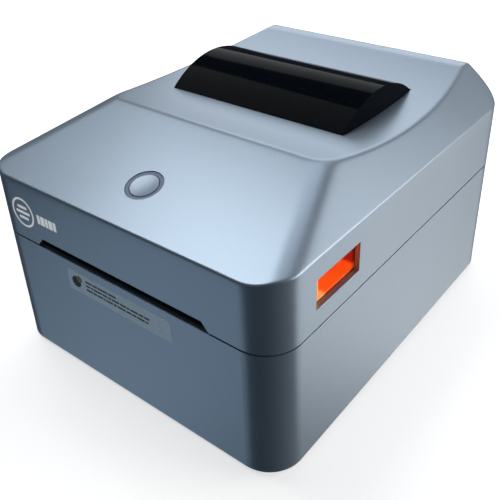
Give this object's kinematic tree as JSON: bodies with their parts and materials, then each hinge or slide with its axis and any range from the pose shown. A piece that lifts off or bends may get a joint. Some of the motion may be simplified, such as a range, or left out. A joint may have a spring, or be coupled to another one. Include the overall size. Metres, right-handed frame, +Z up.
{
  "type": "thermal label printer",
  "caption": "Desktop label printer: tub base, hinged lid with smoked roll window, sprung release levers, feed button, platen drive and sliding roll holders.",
  "frame": {"origin": "on the table surface, under the middle of the printer's bounding box in plan", "axes": "+X to the printer's right seen from the front, +Y to the rear, +Z up"},
  "size_m": [0.178, 0.2192, 0.1305],
  "materials": {
    "aluminium": "extruded",
    "bay_plastic": "fine texture",
    "board": "solder mask",
    "brass": "turned",
    "button": "satin",
    "ceramic": "glazed",
    "dark_plastic": "fine texture",
    "film": "translucent film",
    "gear_plastic": "moulded",
    "lever": "satin",
    "ring": "satin",
    "rubber": "matte",
    "shell": "satin metallic blue-grey",
    "steel": "plain",
    "window": "smoked gloss"
  },
  "bodies": {
    "base": {"base_shell": "shell", "exit_lip": "dark_plastic", "bottom_cover": "dark_plastic", "rubber_feet": "rubber", "media_bay": "bay_plastic", "paper_guide": "dark_plastic", "side_plate_left": "steel", "side_plate_right": "steel", "platen_bushings": "gear_plastic", "stepper_motor": "dark_plastic", "idler_axle": "steel", "main_board": "board", "board_screws": "steel", "power_jack": "dark_plastic", "usb_port": "steel", "switch_frame": "dark_plastic", "catch_pins": "steel", "base_screws": "steel", "lower_sensor": "dark_plastic", "hinge_pins": "steel", "pinion_clip": "steel", "front_sticker": "film"},
    "lid": {"lid_shell": "shell", "lid_frame": "bay_plastic", "window": "window", "button_ring": "ring", "button_board": "board", "tear_bar": "steel", "head_bracket": "steel", "upper_sensor": "dark_plastic", "lid_screws": "steel", "latch_spring": "steel"},
    "latch": {"latch_shaft": "steel", "release_lever_left": "lever", "release_lever_right": "lever"},
    "head": {"print_head": "ceramic", "heat_sink": "aluminium", "head_springs": "steel"},
    "platen": {"platen_roller": "rubber", "platen_shaft": "steel", "platen_gear": "gear_plastic"},
    "idler": {"idler_gear": "gear_plastic"},
    "pinion": {"motor_pinion": "brass", "motor_shaft": "steel"},
    "holder_right": {"roll_holder_right": "bay_plastic"},
    "holder_left": {"roll_holder_left": "bay_plastic"},
    "hub_right": {"roll_hub_right": "gear_plastic"},
    "hub_left": {"roll_hub_left": "gear_plastic"},
    "holder_pinion": {"rack_pinion": "gear_plastic"},
    "button": {"feed_button": "button"},
    "rocker": {"power_rocker": "dark_plastic"}
  },
  "joints": [
    {"name": "lid_hinge", "type": "hinge", "parent": "base", "child": "lid", "pos_m": [0, 0.10558, 0.07], "axis": [-1, 0, 0], "range_deg": [0, 95]},
    {"name": "latch_pull", "type": "hinge", "parent": "lid", "child": "latch", "pos_m": [0, -0.06193, 0.1], "axis": [-1, 0, 0], "range_deg": [0, 11], "stiffness_Nm_per_rad": 0.4, "springref_deg": -17.19},
    {"name": "head_float", "type": "slide", "parent": "lid", "child": "head", "axis": [0, 0, 1], "range_m": [0, 0.0012], "stiffness_N_per_m": 3000, "springref_m": -0.004, "deforming": ["head_springs"]},
    {"name": "button_press", "type": "slide", "parent": "lid", "child": "button", "axis": [0, 0.2756, -0.9613], "range_m": [0, 0.0008], "stiffness_N_per_m": 1500, "springref_m": -0.0004},
    {"name": "platen_spin", "type": "hinge", "parent": "base", "child": "platen", "pos_m": [0, -0.09392, 0.063], "axis": [1, 0, 0], "continuous": true},
    {"name": "idler_spin", "type": "hinge", "parent": "base", "child": "idler", "pos_m": [0, -0.08001, 0.04641], "axis": [1, 0, 0], "continuous": true},
    {"name": "motor_spin", "type": "hinge", "parent": "base", "child": "pinion", "pos_m": [0, -0.0671, 0.03558], "axis": [1, 0, 0], "continuous": true},
    {"name": "holder_right_slide", "type": "slide", "parent": "base", "child": "holder_right", "axis": [-1, 0, 0], "range_m": [0, 0.037]},
    {"name": "holder_left_slide", "type": "slide", "parent": "base", "child": "holder_left", "axis": [1, 0, 0], "range_m": [0, 0.037]},
    {"name": "rack_pinion_turn", "type": "hinge", "parent": "base", "child": "holder_pinion", "pos_m": [0, 0.02558, 0.017], "axis": [0, 0, 1], "range_deg": [0, 303]},
    {"name": "hub_right_spin", "type": "hinge", "parent": "holder_right", "child": "hub_right", "pos_m": [0.0545, 0.02558, 0.0777], "axis": [1, 0, 0], "continuous": true},
    {"name": "hub_left_spin", "type": "hinge", "parent": "holder_left", "child": "hub_left", "pos_m": [-0.0545, 0.02558, 0.0777], "axis": [1, 0, 0], "continuous": true},
    {"name": "power_switch", "type": "hinge", "parent": "base", "child": "rocker", "pos_m": [-0.052, 0.10107, 0.0235], "axis": [1, 0, 0], "range_deg": [0, 16]}
  ],
  "couplings": [
    {"joint": "idler_spin", "follows": "platen_spin", "ratio": -0.8},
    {"joint": "motor_spin", "follows": "platen_spin", "ratio": 2},
    {"joint": "holder_left_slide", "follows": "holder_right_slide", "ratio": 1},
    {"joint": "rack_pinion_turn", "follows": "holder_right_slide", "rad_per_m": 142.86}
  ]
}
